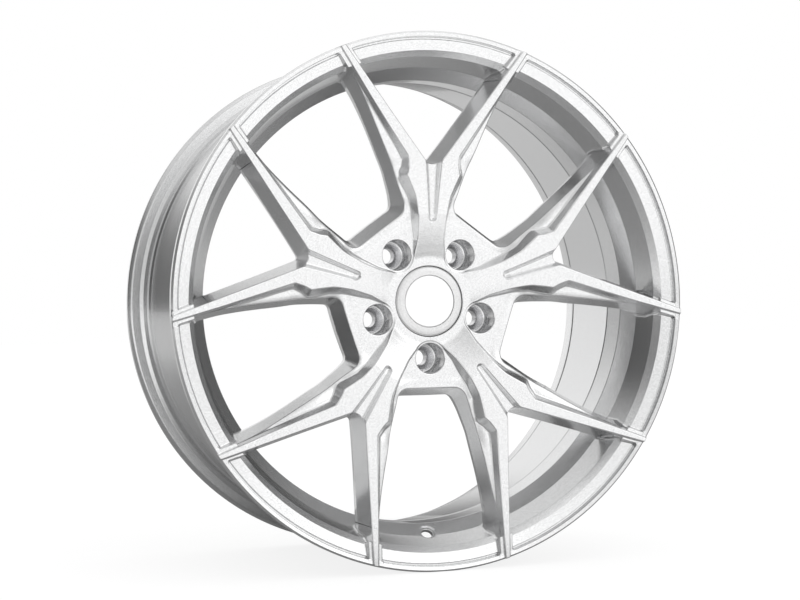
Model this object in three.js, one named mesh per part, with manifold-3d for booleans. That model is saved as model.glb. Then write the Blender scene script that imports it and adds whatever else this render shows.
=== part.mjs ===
// A 19 x 8.5 inch road-racing wheel with five Y-shaped spokes, in millimetres.
// The wheel stands upright: its axis is Y, the face looks towards -Y, and one spoke points to +Z.
// The origin is on the axis, halfway between the outer faces of the two flanges.
import * as THREE from 'three';
import { mergeVertices } from 'three/addons/utils/BufferGeometryUtils.js';
import Module from 'manifold-3d';

const manifoldLibrary = await Module();
manifoldLibrary.setup();
const { Manifold, Mesh: SolidMesh } = manifoldLibrary;

// ---- driving dimensions ----
const SPOKES = 5;
const SPOKE_ANGLE = (2 * Math.PI) / SPOKES;
const LUG_AXIS = SPOKE_ANGLE / 2;
const RING_FACETS = 40;
const POCKET_FACETS = 16;
const SMALL_FACETS = 32;
const SIMPLIFY = 0.08;
const GAP = 0.3;

// Cutters run from in front of the wheel to behind the face, and out past the flange.
const CUT_FRONT = -140;
const CUT_BACK = -30;
const CUT_REACH = 400;

const HALF_WIDTH = 122.5;
const FLANGE_RADIUS = 261.2;
const FLANGE_FACE = 107.95;
const BEAD_RADIUS = 243.7;
const RIM_SPLIT = 103;
const WALL_RADIUS = 237.4;
const OVER_LIP = -111;

const BOLT_CIRCLE_RADIUS = 56;
const POCKET_RADIUS = 14.75;
const POCKET_FLOOR = -67.5;
const SEAT = { radius: 12.5, top: -68.5, coneRadius: 10.4, coneEnd: -60.5, holeRadius: 7.5 };

const PAD_BACK = -50;
const CAP_RECESS = { radius: 34.8, floor: -87.8 };
const CAP_BORE_RADIUS = 31.4;
const HUB_BORE = { radius: 36.3, front: -66 };
const COLLAR_RADIUS = 40;
const HUB_END = 98;

const VALVE = { radius: 5.65, spotRadius: 9, spotDepth: 1.2, ringRadius: 228.4, depth: -77, tilt: 0.645 };

// Depth (y) of each surface of the face at a few radii: [radius, y].
const LAND_TOP = [
  [CAP_RECESS.radius, -93], [44, -93.2], [58, -99], [76, -104.8], [100, -108.8], [140, -112.5], [200, -117],
  [FLANGE_RADIUS, -HALF_WIDTH],
];
const LEDGE_TOP = [
  [CAP_RECESS.radius, -90.5], [60, -92.6], [85, -94.5], [105, -98], [127, -100.5], [146, -103.7],
  [175, -106], [195, -109], [215, -112], [238, -115.5],
];
const WALL_FOOT = [
  [80, -66], [95, -71], [106, -77], [127, -82], [146, -85.5], [175, -88.5], [195, -90], [215, -92.5],
  [238, -95],
];
const SPOKE_BACK = [
  [230.4, -80.5], [200, -80], [175, -79], [146, -76], [127, -72], [106, -66], [92, -56], [78, PAD_BACK],
];

const LAND_BACK = [
  [FLANGE_RADIUS, OVER_LIP], [232, OVER_LIP], [175, -101], [110, -93], [60, -86], [CAP_RECESS.radius, -86],
];

// Slopes of the side walls: sideways run for each millimetre of depth.
const WINDOW_DRAFT = 0.3;
const FORK_DRAFT = 0.23;
const FLANK_DRAFT = 0.5;
const GROOVE_DRAFT = 0.5;

// The groove's depth below the land where it starts, and how fast it deepens outwards.
const GROOVE = { start: 77, depth: 3.4, fall: 0.035 };

// Sections of the rim and of the small turned pieces, as closed lists of [radius, y].
const LIP_SECTION = [
  [238, -105.5], [243.5, -112.5], [253.6, -115], [254.2, -113], [255.6, -113.2], [256.2, -118.6],
  [259.3, -120.3], [FLANGE_RADIUS, -118], [FLANGE_RADIUS, -112], [258, -108.5], [249, -FLANGE_FACE],
  [245.2, -105.6], [BEAD_RADIUS, -RIM_SPLIT], [WALL_RADIUS, -RIM_SPLIT],
];
const BARREL_SECTION = [
  [WALL_RADIUS, GAP - RIM_SPLIT], [BEAD_RADIUS, GAP - RIM_SPLIT], [242.8, -90], [244.1, -86.5],
  [242.6, -83], [226.4, -67], [226.4, -30], [242.4, 80], [244.1, 86.5], [242.8, 90],
  [BEAD_RADIUS, RIM_SPLIT - GAP], [239.7, RIM_SPLIT - GAP], [238, 95], [237, 88.5], [221.7, -30.5],
  [220, -65.9], [231, -80.5],
];
const REAR_FLANGE_SECTION = [
  [239.8, RIM_SPLIT], [BEAD_RADIUS, RIM_SPLIT], [BEAD_RADIUS, 104], [245.4, 106.8], [249, FLANGE_FACE],
  [258, 108.5], [FLANGE_RADIUS, 112], [FLANGE_RADIUS, 118.5], [259, 121.6], [256, HALF_WIDTH],
  [247, HALF_WIDTH], [243.4, 119.4],
];
const CENTRING_SECTION = [
  [33.3, HUB_BORE.front + GAP], [35, HUB_BORE.front + GAP], [36, HUB_BORE.front + 1.5],
  [36, PAD_BACK - GAP], [34.2, PAD_BACK - GAP], [33.3, PAD_BACK - 1.4],
];
const CAP_SECTION = [
  [0, -92.2], [25.7, -92.2], [25.7, -93.7], [30, -93.6], [33, -93], [34.3, -91.6],
  [34.3, CAP_RECESS.floor - GAP], [31, CAP_RECESS.floor - GAP], [31, -69], [30, -68], [28.7, -69],
  [28.7, -89.6], [0, -89.6],
];
const DISC_SECTION = [[0, -93.5], [24.6, -93.4], [25.4, -93], [25.4, -92.5], [0, -92.5]];
const SPRING_WIRE = { ringRadius: 27.6, radius: 0.75, depth: -72 };

// ---- small helpers ----
const plan = (x, z) => new THREE.Vector2(x, z);
const polar = (radius, angle) => plan(radius * Math.sin(angle), radius * Math.cos(angle));

function depthFrom(stations) {
  return (radius) => {
    const last = stations.length - 1;
    let index = stations.findIndex(([stationRadius]) => stationRadius > radius);
    if (index === -1) index = last;
    index = Math.max(1, index);
    const [r0, y0] = stations[index - 1];
    const [r1, y1] = stations[index];
    const share = THREE.MathUtils.clamp((radius - r0) / (r1 - r0), 0, 1);
    return y0 + share * (y1 - y0);
  };
}

const landDepth = depthFrom(LAND_TOP);
const ledgeDepth = depthFrom(LEDGE_TOP);
const footDepth = depthFrom(WALL_FOOT);

function arc(centre, radius, start, end, steps) {
  const points = [];
  for (let step = 0; step <= steps; step += 1) {
    const angle = start + ((end - start) * step) / steps;
    points.push(plan(centre.x + radius * Math.cos(angle), centre.y + radius * Math.sin(angle)));
  }
  return points;
}

function spline(points, steps) {
  return new THREE.SplineCurve(points).getPoints(steps);
}

// Mirrors points about the line through the axis at the given angle from +Z, in reverse order.
function mirrored(points, angle) {
  const axis = polar(1, angle);
  return points
    .map((point) => {
      const along = 2 * point.dot(axis);
      return plan(along * axis.x - point.x, along * axis.y - point.y);
    })
    .reverse();
}

function signedArea(outline) {
  return THREE.ShapeUtils.area(outline);
}

// Moves each point of a closed outline outwards, by a distance that may differ from point to point.
function grown(outline, distanceAt) {
  const outwards = Math.sign(signedArea(outline));
  const count = outline.length;
  return outline.map((point, index) => {
    const before = point.clone().sub(outline[(index + count - 1) % count]).normalize();
    const after = outline[(index + 1) % count].clone().sub(point).normalize();
    const normal = plan(before.y + after.y, -before.x - after.x).normalize();
    const stretch = Math.max(0.5, normal.dot(plan(after.y, -after.x)));
    return point.clone().addScaledVector(normal, (outwards * distanceAt(point)) / stretch);
  });
}

function volumeOf(positions, triangles) {
  const corners = [new THREE.Vector3(), new THREE.Vector3(), new THREE.Vector3()];
  let volume = 0;
  for (let index = 0; index < triangles.length; index += 3) {
    corners.forEach((corner, offset) => corner.fromArray(positions, 3 * triangles[index + offset]));
    volume += corners[0].dot(corners[1].clone().cross(corners[2])) / 6;
  }
  return volume;
}

function solid(geometry) {
  const bare = geometry.clone();
  bare.deleteAttribute('normal');
  bare.deleteAttribute('uv');
  const merged = mergeVertices(bare, 1e-4);
  const positions = Float32Array.from(merged.attributes.position.array);
  const triangles = [];
  const index = merged.index.array;
  for (let start = 0; start < index.length; start += 3) {
    const [a, b, c] = [index[start], index[start + 1], index[start + 2]];
    if (a !== b && b !== c && c !== a) triangles.push(a, b, c);
  }
  if (volumeOf(positions, triangles) < 0) triangles.reverse();
  return new Manifold(new SolidMesh({
    numProp: 3,
    vertProperties: positions,
    triVerts: Uint32Array.from(triangles),
  }));
}

function geometryOf(body) {
  const mesh = body.simplify(SIMPLIFY).getMesh();
  const geometry = new THREE.BufferGeometry();
  geometry.setAttribute('position', new THREE.BufferAttribute(Float32Array.from(mesh.vertProperties), 3));
  geometry.setIndex(Array.from(mesh.triVerts));
  geometry.computeVertexNormals();
  return geometry;
}

// A body of revolution about the wheel's axis. The profile is a closed list of [radius, y], and a flat
// facet, not a corner, faces +Z, so that the wheel also stands on a flat facet.
function turned(profile, facets = RING_FACETS) {
  const points = profile.map(([radius, depth]) => new THREE.Vector2(radius, depth));
  const first = points[0];
  if (first.x > 0 || points[points.length - 1].x > 0) points.push(first.clone());
  return solid(new THREE.LatheGeometry(points, facets, Math.PI / facets));
}

// Triangles that fill an outline, turned the same way round as the outline itself.
function cap(outline) {
  return THREE.ShapeUtils.triangulateShape(outline, []).map((triangle) => {
    const turns = signedArea(triangle.map((corner) => outline[corner])) * signedArea(outline);
    return turns > 0 ? triangle : triangle.reverse();
  });
}

// Joins rings of points, given as an outline in plan with a depth for each point, into one closed body.
function loft(rings) {
  const count = rings[0].outline.length;
  const positions = [];
  for (const { outline, depthAt } of rings) {
    for (const point of outline) positions.push(point.x, depthAt(point), point.y);
  }
  const triangles = [];
  for (let ring = 0; ring + 1 < rings.length; ring += 1) {
    for (let index = 0; index < count; index += 1) {
      const a = ring * count + index;
      const b = ring * count + ((index + 1) % count);
      triangles.push(a, b, a + count, b, b + count, a + count);
    }
  }
  const lastRing = (rings.length - 1) * count;
  for (const [a, b, c] of cap(rings[0].outline)) triangles.push(c, b, a);
  for (const triangle of cap(rings[rings.length - 1].outline)) {
    triangles.push(...triangle.map((corner) => corner + lastRing));
  }
  const geometry = new THREE.BufferGeometry();
  geometry.setAttribute('position', new THREE.Float32BufferAttribute(positions, 3));
  geometry.setIndex(triangles);
  return solid(geometry);
}

function cylinderAlongY(radius, front, back, facets) {
  const geometry = new THREE.CylinderGeometry(radius, radius, back - front, facets);
  geometry.translate(0, (front + back) / 2, 0);
  return geometry;
}

const radiusOf = (point) => point.length();

// ---- outlines in plan, in the frame of the spoke that points to +Z ----
// The window between two neighbouring spokes, at the front edge of its wall. It is symmetric about the
// line through a bolt pocket, with a straight inner end and two rounded corners.
function windowOutline() {
  const innerEnd = polar(85.3, LUG_AXIS);
  const cornerCentre = plan(38.7, 93.3);
  const corner = arc(cornerCentre, 13, THREE.MathUtils.degToRad(234), THREE.MathUtils.degToRad(159), 4);
  const side = spline([
    plan(26.6, 98), plan(43, 140), plan(63, 185), plan(72.1, 203), plan(87.4, 226.8), plan(105.4, 254.5),
  ], 12);
  const half = [innerEnd, ...corner, ...side.slice(1)];
  return [...mirrored(half, LUG_AXIS), ...half.slice(1)];
}

// The window inside the fork of one spoke: two straight sides and a round inner end.
function forkOutline() {
  const halfAngle = THREE.MathUtils.degToRad(37.5);
  const endRadius = 10;
  const centre = plan(0, 142.1);
  const end = arc(centre, endRadius, 1.5 * Math.PI, 2 * Math.PI - halfAngle, 4);
  const direction = polar(1, halfAngle);
  const side = [60, 190].map((length) => end[end.length - 1].clone().addScaledVector(direction, length));
  const half = [...end, ...side];
  return [...mirrored(half, 0), ...half.slice(1)];
}

// The raised land: a star whose arms run out along the spokes, round each bolt pocket and over the lip.
// The step in each flank is the shoulder where the trunk becomes an arm.
function landOutline() {
  const pocket = polar(BOLT_CIRCLE_RADIUS, LUG_AXIS);
  const towardsAxis = Math.atan2(-pocket.y, -pocket.x);
  const roundPocket = arc(pocket, 17.6, towardsAxis, -Math.PI, 3);
  const trunk = spline([plan(13.3, 60), plan(13.8, 80), plan(17.2, 100), plan(26.8, 121.5)], 7);
  const shoulder = [plan(25.5, 129), plan(25.8, 139)];
  const tip = [plan(86.1, 227.7), plan(112, 265)];
  const half = [...roundPocket, ...trunk, ...shoulder, ...tip];
  const spoke = [...half, ...mirrored(half, 0).slice(0, -1)];
  const star = [];
  for (let index = 0; index < SPOKES; index += 1) {
    for (const point of spoke) star.push(point.clone().rotateAround(plan(0, 0), index * SPOKE_ANGLE));
  }
  return star;
}

// The groove down the middle of the trunk: it widens outwards and runs into the fork.
function grooveOutline() {
  const end = arc(plan(0, 81.7), 4.2, 1.5 * Math.PI, 2 * Math.PI, 4);
  const half = [...end, plan(6.2, 108), plan(8, 131), plan(9, 150)];
  return [...mirrored(half, 0), ...half.slice(1)];
}

// ---- the wheel's face ----
function windowCutter(outline, frontDepth, draft, clearance = 0) {
  const wideDepth = (point) => footDepth(radiusOf(point));
  const slope = (point, depth) => draft * (frontDepth(radiusOf(point)) - depth) - clearance;
  const wideOutline = grown(outline, (point) => slope(point, wideDepth(point)));
  return loft([
    { outline: grown(outline, (point) => slope(point, CUT_FRONT)), depthAt: () => CUT_FRONT },
    { outline: wideOutline, depthAt: wideDepth },
    { outline: wideOutline, depthAt: () => CUT_BACK },
  ]);
}

function landPrism(clearance, back) {
  const outline = landOutline();
  const above = 6;
  const slope = (point) => FLANK_DRAFT * (back - landDepth(radiusOf(point)));
  return loft([
    {
      outline: grown(outline, () => clearance - FLANK_DRAFT * above),
      depthAt: (point) => landDepth(radiusOf(point)) - above,
    },
    { outline: grown(outline, (point) => clearance + slope(point)), depthAt: () => back },
  ]);
}

function grooveCutter() {
  const outline = grooveOutline();
  const depth = (point) => GROOVE.depth + GROOVE.fall * (radiusOf(point) - GROOVE.start);
  const floor = (point) => landDepth(radiusOf(point)) + depth(point);
  const above = 4;
  return loft([
    {
      outline: grown(outline, () => GROOVE_DRAFT * above),
      depthAt: (point) => landDepth(radiusOf(point)) - above,
    },
    { outline: grown(outline, (point) => -GROOVE_DRAFT * depth(point)), depthAt: floor },
  ]);
}

function rotated(body, index) {
  return body.rotate([0, (index * 360) / SPOKES, 0]);
}

function everySpoke(body) {
  return Array.from({ length: SPOKES }, (_, index) => rotated(body, index));
}

const subtractAll = (body, cutters) => cutters.reduce((rest, cutter) => rest.subtract(cutter), body);

function face() {
  const ledges = LEDGE_TOP.slice(0, -1).concat([[WALL_RADIUS, -115.4], [WALL_RADIUS, -105.4]]);
  const body = turned([...ledges, ...SPOKE_BACK, [CAP_RECESS.radius, PAD_BACK]]);
  const land = turned([...LAND_TOP, ...LAND_BACK]).intersect(landPrism(0, -84));
  const cutters = [
    ...everySpoke(windowCutter(windowOutline(), ledgeDepth, WINDOW_DRAFT)),
    ...everySpoke(windowCutter(forkOutline(), landDepth, FORK_DRAFT)),
    ...everySpoke(grooveCutter()),
  ];
  return subtractAll(body.add(land), cutters);
}

function hub(wheelFace) {
  const apothem = HUB_END - GAP / 2;
  const pentagon = cylinderAlongY(apothem / Math.cos(Math.PI / SPOKES), CUT_FRONT, CUT_BACK, SPOKES);
  pentagon.rotateY(Math.PI / SPOKES);
  const pocket = polar(BOLT_CIRCLE_RADIUS, LUG_AXIS);
  const pocketBore = cylinderAlongY(POCKET_RADIUS, CUT_FRONT, POCKET_FLOOR, POCKET_FACETS);
  const seatBore = cylinderAlongY(SEAT.radius + GAP, CUT_FRONT, CUT_BACK, POCKET_FACETS);
  const cutters = [
    ...everySpoke(solid(pocketBore.translate(pocket.x, 0, pocket.y))),
    ...everySpoke(solid(seatBore.translate(pocket.x, 0, pocket.y))),
    solid(cylinderAlongY(CAP_RECESS.radius, CUT_FRONT, CAP_RECESS.floor, RING_FACETS)),
    solid(cylinderAlongY(HUB_BORE.radius, HUB_BORE.front, CUT_BACK, RING_FACETS)),
  ];
  const collar = turned([
    [CAP_BORE_RADIUS, CAP_RECESS.floor], [COLLAR_RADIUS, CAP_RECESS.floor],
    [COLLAR_RADIUS, HUB_BORE.front], [CAP_BORE_RADIUS, HUB_BORE.front],
  ]);
  return subtractAll(wheelFace.intersect(solid(pentagon)), cutters).add(collar);
}

function spoke(wheelFace) {
  const wedge = [plan(0, 0), polar(CUT_REACH, LUG_AXIS), polar(CUT_REACH, -LUG_AXIS)];
  const sector = loft([
    { outline: wedge, depthAt: () => CUT_FRONT },
    { outline: wedge, depthAt: () => CUT_BACK },
  ]);
  const outside = new THREE.BoxGeometry(CUT_REACH, CUT_REACH, CUT_REACH);
  outside.translate(0, 0, HUB_END + GAP / 2 + CUT_REACH / 2);
  return wheelFace.intersect(sector).intersect(solid(outside));
}

// ---- the rim ----
// The front flange, with a slot for each spoke tip that runs over it.
function lipRing() {
  const band = turned([
    [225, CUT_FRONT], [290, CUT_FRONT], [290, OVER_LIP + GAP], [225, OVER_LIP + GAP],
  ]);
  const slots = band.intersect(landPrism(GAP, -100));
  const forks = everySpoke(windowCutter(forkOutline(), landDepth, FORK_DRAFT, GAP));
  return turned(LIP_SECTION).subtract(subtractAll(slots, forks));
}

// The barrel, with the valve hole and the flat ring round its mouth.
function barrel() {
  const hole = new THREE.CylinderGeometry(VALVE.radius, VALVE.radius, 60, POCKET_FACETS);
  const spotLength = 20;
  const spot = new THREE.CylinderGeometry(VALVE.spotRadius, VALVE.spotRadius, spotLength, POCKET_FACETS);
  spot.translate(0, spotLength / 2 - VALVE.spotDepth, 0);
  const tools = [hole, spot].map((geometry) => {
    geometry.rotateX(Math.PI / 2 + VALVE.tilt);
    geometry.translate(0, VALVE.depth, -VALVE.ringRadius);
    return solid(geometry);
  });
  return subtractAll(turned(BARREL_SECTION), tools);
}

// ---- what sits in the hub ----
function lugSeat() {
  return turned([
    [SEAT.coneRadius, SEAT.top], [SEAT.radius, SEAT.top], [SEAT.radius, PAD_BACK - GAP],
    [SEAT.holeRadius, PAD_BACK - GAP], [SEAT.holeRadius, SEAT.coneEnd],
  ], POCKET_FACETS);
}

// The cap's skirt is slit into eight clip legs.
function capShell() {
  const slit = new THREE.BoxGeometry(2.4, 16, 80).translate(0, -76, 0);
  const slits = [0, 1, 2, 3].map((index) => solid(slit.clone().rotateY((index * Math.PI) / 4 + 0.2)));
  return subtractAll(turned(CAP_SECTION, SMALL_FACETS), slits);
}

function springWire() {
  const wire = new THREE.TorusGeometry(SPRING_WIRE.ringRadius, SPRING_WIRE.radius, 6, SMALL_FACETS);
  return wire.rotateX(Math.PI / 2).translate(0, SPRING_WIRE.depth, 0);
}

// ---- materials and assembly ----
function finish(color, roughness, metalness) {
  return new THREE.MeshStandardMaterial({ color, roughness, metalness });
}

const SILVER = finish(0xd4d5d6, 0.28, 0.85);
const STEEL = finish(0xc4c5c6, 0.3, 1);
const CAP_SILVER = finish(0xe2e3e3, 0.35, 0.6);
const DISC_ALUMINIUM = finish(0xeeeeee, 0.25, 0.9);
const DARK_PLASTIC = finish(0x2b2b2c, 0.6, 0);

function named(name, geometry, material) {
  const mesh = new THREE.Mesh(geometry, material);
  mesh.name = name;
  return mesh;
}

const wheel = new THREE.Group();
const wheelFace = face();
wheel.add(named('hub', geometryOf(hub(wheelFace)), SILVER));
wheel.add(named('lip_ring', geometryOf(lipRing()), SILVER));
wheel.add(named('barrel', geometryOf(barrel()), SILVER));
wheel.add(named('rear_flange', geometryOf(turned(REAR_FLANGE_SECTION)), SILVER));

const spokeGeometry = geometryOf(spoke(wheelFace));
const seatGeometry = geometryOf(lugSeat());
for (let index = 0; index < SPOKES; index += 1) {
  const turn = new THREE.Group();
  turn.rotation.y = index * SPOKE_ANGLE;
  turn.add(named(`y_spoke_${index + 1}`, spokeGeometry, SILVER));
  const seat = named(`lug_seat_${index + 1}`, seatGeometry, STEEL);
  const place = polar(BOLT_CIRCLE_RADIUS, LUG_AXIS);
  seat.position.set(place.x, 0, place.y);
  turn.add(seat);
  wheel.add(turn);
}

wheel.add(named('cap_shell', geometryOf(capShell()), CAP_SILVER));
wheel.add(named('cap_disc', geometryOf(turned(DISC_SECTION, SMALL_FACETS)), DISC_ALUMINIUM));
wheel.add(named('cap_spring_wire', springWire(), STEEL));
wheel.add(named('centring_ring', geometryOf(turned(CENTRING_SECTION, SMALL_FACETS)), DARK_PLASTIC));

export default wheel;
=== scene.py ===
"""A forged five-spoke road-racing wheel: its looks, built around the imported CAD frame.

The face, the lip and the front of the barrel are one sculpted body. It is written as a signed distance in
millimetres, from outlines in plan and depths along the axis. Its surface is drawn as quads, whose points
are moved onto it and take their normals from it. The rest of the barrel and the pieces in the hub are
turned profiles.
"""

import math

import bmesh
import bpy
import numpy as np
from mathutils import Matrix, Vector


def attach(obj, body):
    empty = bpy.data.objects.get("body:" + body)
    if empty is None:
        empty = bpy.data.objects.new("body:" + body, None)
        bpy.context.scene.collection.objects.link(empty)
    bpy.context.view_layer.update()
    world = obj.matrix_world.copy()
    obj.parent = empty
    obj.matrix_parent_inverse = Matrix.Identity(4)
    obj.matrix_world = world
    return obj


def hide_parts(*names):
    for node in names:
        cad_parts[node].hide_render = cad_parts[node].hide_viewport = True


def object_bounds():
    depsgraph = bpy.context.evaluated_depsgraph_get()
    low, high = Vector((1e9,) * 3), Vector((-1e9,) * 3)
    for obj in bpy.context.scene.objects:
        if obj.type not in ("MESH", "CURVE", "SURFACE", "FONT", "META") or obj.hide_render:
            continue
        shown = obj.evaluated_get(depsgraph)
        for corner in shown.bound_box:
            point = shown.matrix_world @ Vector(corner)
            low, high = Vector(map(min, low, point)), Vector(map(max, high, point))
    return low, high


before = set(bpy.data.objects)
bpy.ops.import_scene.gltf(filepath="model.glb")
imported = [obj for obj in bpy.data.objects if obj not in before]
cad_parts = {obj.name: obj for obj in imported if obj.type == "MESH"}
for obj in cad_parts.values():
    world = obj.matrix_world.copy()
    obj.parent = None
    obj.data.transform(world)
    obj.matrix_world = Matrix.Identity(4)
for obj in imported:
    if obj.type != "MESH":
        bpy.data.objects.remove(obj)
cad_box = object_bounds()

# ---- driving dimensions, in millimetres ----
MM = 0.001
SPOKES = 5
SECTOR = 2 * math.pi / SPOKES
LUG_ANGLE = SECTOR / 2
HALF_WIDTH = 122.5
FLANGE_RADIUS = 261.2

BOLT_CIRCLE_RADIUS = 56.0
POCKET_RADIUS = 14.75
POCKET_FLOOR = -67.5
SEAT_RADIUS = 12.5
PAD_BACK = -50.0
CAP_RECESS_RADIUS = 34.8
CAP_RECESS_FLOOR = -87.8
CAP_BORE_RADIUS = 31.4
HUB_BORE_RADIUS = 36.3
HUB_BORE_FRONT = -66.0
HUB_END = 98.0

VALVE_RADIUS = 5.65
VALVE_FLAT_RADIUS = 9.0
VALVE_FLAT_DEPTH = 1.2
VALVE_RING_RADIUS = 228.4
VALVE_DEPTH = -77.0
VALVE_TILT = 0.645

TIP_ANGLE = math.radians(20.78)
ARM_END = 226.0
LIP_BACK = -102.85
RIM_FRONT_BACK = -67.5
ARM_BACK = -79.3
BARREL_ZONE_RADIUS = 205.0

# Depths along the axis at a few radii: (radius, y).
LAND_DISH = [(30, -93.0), (42, -93.2), (50, -95.9), (58, -98.8), (72, -103.4), (85, -107.0)]
LAND_ARM = [(85, -107.0), (112, -110.0), (140, -112.6), (180, -115.3), (220, -118.9), (262, -HALF_WIDTH)]
WINDOW_EDGE = [
    (30, -90.5), (60, -91.6), (80, -92.5), (92, -95.5), (104, -98.0), (118, -98.4), (128, -99.6),
    (136, -100.8), (147, -103.2), (175, -105.6), (195, -107.8), (215, -111.0), (238, -114.4), (262, -118.0),
]
WALL_FOOT = [
    (80, -68), (93, -70), (106, -77), (127, -81.5), (146, -85), (175, -88), (195, -90), (215, -92),
    (240, -95),
]
SPOKE_BACK = [
    (70, PAD_BACK), (80, PAD_BACK), (92, -56), (106, -66), (127, -72), (146, -76), (175, -79), (200, -80),
    (262, -80.5),
]
# Sideways run of the land's flank for each millimetre of depth, at a few radii.
FLANK_RUN = [
    (40, 0.35), (76, 0.35), (90, 0.4), (100, 0.52), (112, 0.58), (150, 0.58), (200, 0.38), (226, 0.3),
    (262, 0.3),
]
WINDOW_RUN = 0.3
FORK_RUN = 0.225
GROOVE_RUN = 0.6
LEDGE_FALL = 0.3
LEDGE_WIDTH = 5.0

# Roundings between surfaces of the sculpted body.
LAND_EDGE = 1.0
LAND_FOOT = 1.3
LEDGE_ROUNDING = 3.0
WALL_EDGE = 1.2
BACK_EDGE = 5.0
GROOVE_EDGE = 0.9
GROOVE_BOTTOM = 1.6
POCKET_BOTTOM = 2.0
POCKET_EDGE = 1.4
FINE_EDGE = 0.6
RECESS_EDGE = 1.0
BORE_EDGE = 0.8
FRONT_SEAM = 0.9
BACK_SEAM = 3.0

# The groove down the trunk: its depth where it starts, and how it deepens outwards.
GROOVE_START = 77.5
GROOVE_DEPTH = 3.4
GROOVE_DEEPENS = 0.036
SEAT_CLEARANCE = 0.15

# The low frame round each spoke tip: its sides, its depth under the land and the radii where it ends.
COLLAR_DEPTH = 2.6
COLLAR_WIDTH = 3.5
COLLAR_OUTER_WIDTH = 4.6
COLLAR_WIDENS = 255.0
COLLAR_RUN = 0.25
COLLAR_INNER = 241.0
COLLAR_OUTER = 260.4
COLLAR_BACK = -109.0
COLLAR_END_RUN = 0.35
COLLAR_END_DEPTH = -113.0

# The spokes stop just inside the flange's outline, and over the lip they are cut off at a shallow depth.
SPOKE_RIM_GAP = 0.4
OVER_LIP_RADIUS = 242.5
OVER_LIP_BACK = -110.5

# The lip's section is measured only outside this radius. Elsewhere it counts as far away.
LIP_REACH = 205.0
FAR = 40.0

# Sizes of the drawing grids' cells.
SPOKE_CELL = 0.62
HUB_CELL = 0.75
HUB_COLUMNS = 640
COARSE_TURN = math.radians(0.65)
FINE_TURN = math.radians(0.17)

# The rim's front half in section, from the wall's inner corner round the flange to the well: (radius, y).
LIP_PROFILE = [
    (238, -105.5), (243.5, -112.4), (253.4, -115.0), (254.0, -113.0), (255.8, -113.2), (256.1, -119.4),
    (259.3, -120.4), (261.2, -118.4), (261.2, -112.5), (258, -108.5), (249, -107.95), (245.2, -105.6),
    (243.7, -103), (242.8, -90), (244.1, -86.5), (242.6, -83), (226.4, -66.5), (226.4, -50), (220.3, -50),
    (220, -65.9), (231, -80.5),
]


# ---- curves of depth against radius ----
def smooth_curve(stations, step=0.25):
    """A smooth function through [(position, value)], without overshoot."""
    x = np.array([s[0] for s in stations], float)
    y = np.array([s[1] for s in stations], float)
    slopes = np.diff(y) / np.diff(x)
    tangents = np.concatenate([slopes[:1], (slopes[:-1] + slopes[1:]) / 2, slopes[-1:]])
    tangents[1:-1][slopes[:-1] * slopes[1:] <= 0] = 0
    fine = np.arange(x[0], x[-1] + step, step)
    index = np.clip(np.searchsorted(x, fine) - 1, 0, len(x) - 2)
    width = x[index + 1] - x[index]
    t = (fine - x[index]) / width
    values = (
        (2 * t**3 - 3 * t**2 + 1) * y[index] + (t**3 - 2 * t**2 + t) * width * tangents[index]
        + (3 * t**2 - 2 * t**3) * y[index + 1] + (t**3 - t**2) * width * tangents[index + 1]
    )
    return lambda radius: np.interp(radius, fine, values)


land_dish = smooth_curve(LAND_DISH)
land_arm = smooth_curve(LAND_ARM)
window_edge = smooth_curve(WINDOW_EDGE)
wall_foot = smooth_curve(WALL_FOOT)
spoke_back = smooth_curve(SPOKE_BACK)
flank_run = smooth_curve(FLANK_RUN)


def land_depth(radius):
    return np.where(radius < LAND_DISH[-1][0], land_dish(radius), land_arm(radius))


# ---- outlines in plan, in one half sector: x sideways, z along the spoke, from 0 to 36 degrees ----
def polar(radius, angle):
    return np.array([radius * math.sin(angle), radius * math.cos(angle)])


def arc(centre, radius, start, end, steps=12):
    """Points on an arc, with angles in degrees from the x direction."""
    angles = np.radians(np.linspace(start, end, steps + 1))
    return np.stack([centre[0] + radius * np.cos(angles), centre[1] + radius * np.sin(angles)], 1)


def spline(points, steps=8):
    """A smooth curve through a few points, by Catmull-Rom."""
    p = np.array(points, float)
    p = np.concatenate([[2 * p[0] - p[1]], p, [2 * p[-1] - p[-2]]])
    out = []
    for a, b, c, d in zip(p[:-3], p[1:-2], p[2:-1], p[3:]):
        for t in np.linspace(0, 1, steps, endpoint=False):
            out.append(0.5 * (
                2 * b + (c - a) * t + (2 * a - 5 * b + 4 * c - d) * t**2 + (3 * b - a - 3 * c + d) * t**3))
    return np.concatenate([out, [p[-2]]])


def along(start, angle, length):
    """The point at a distance from start, at an angle in degrees from the spoke's direction."""
    turn = math.radians(angle)
    return np.array(start) + length * np.array([math.sin(turn), math.cos(turn)])


def window_outline():
    inner_radius = 85.3
    corner = arc((38.7, 93.3), 13, 234, 159)
    lug_axis = np.array([math.sin(LUG_ANGLE), math.cos(LUG_ANGLE)])
    beyond = corner[0] + np.array([lug_axis[1], -lug_axis[0]]) * 40
    side = spline([
        (26.6, 98), (32, 112), (38.6, 130), (46.7, 148), (54.9, 166.5), (63.4, 185), (72.4, 203),
        (87.0, 226.8), (104.6, 254.5),
    ])
    start = polar(inner_radius, LUG_ANGLE)
    return np.concatenate([[beyond], [start], corner, side[1:], [polar(330, 0.42), polar(330, 1.2)]])


def fork_outline():
    angle = 37.5
    centre = (0, 142.1)
    end = arc(centre, 10.0, 270, 360 - angle)
    side = along(end[-1], angle, 190)
    return np.concatenate([[(-60, 132.1)], end, [side, (-60, 330)]])


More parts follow.
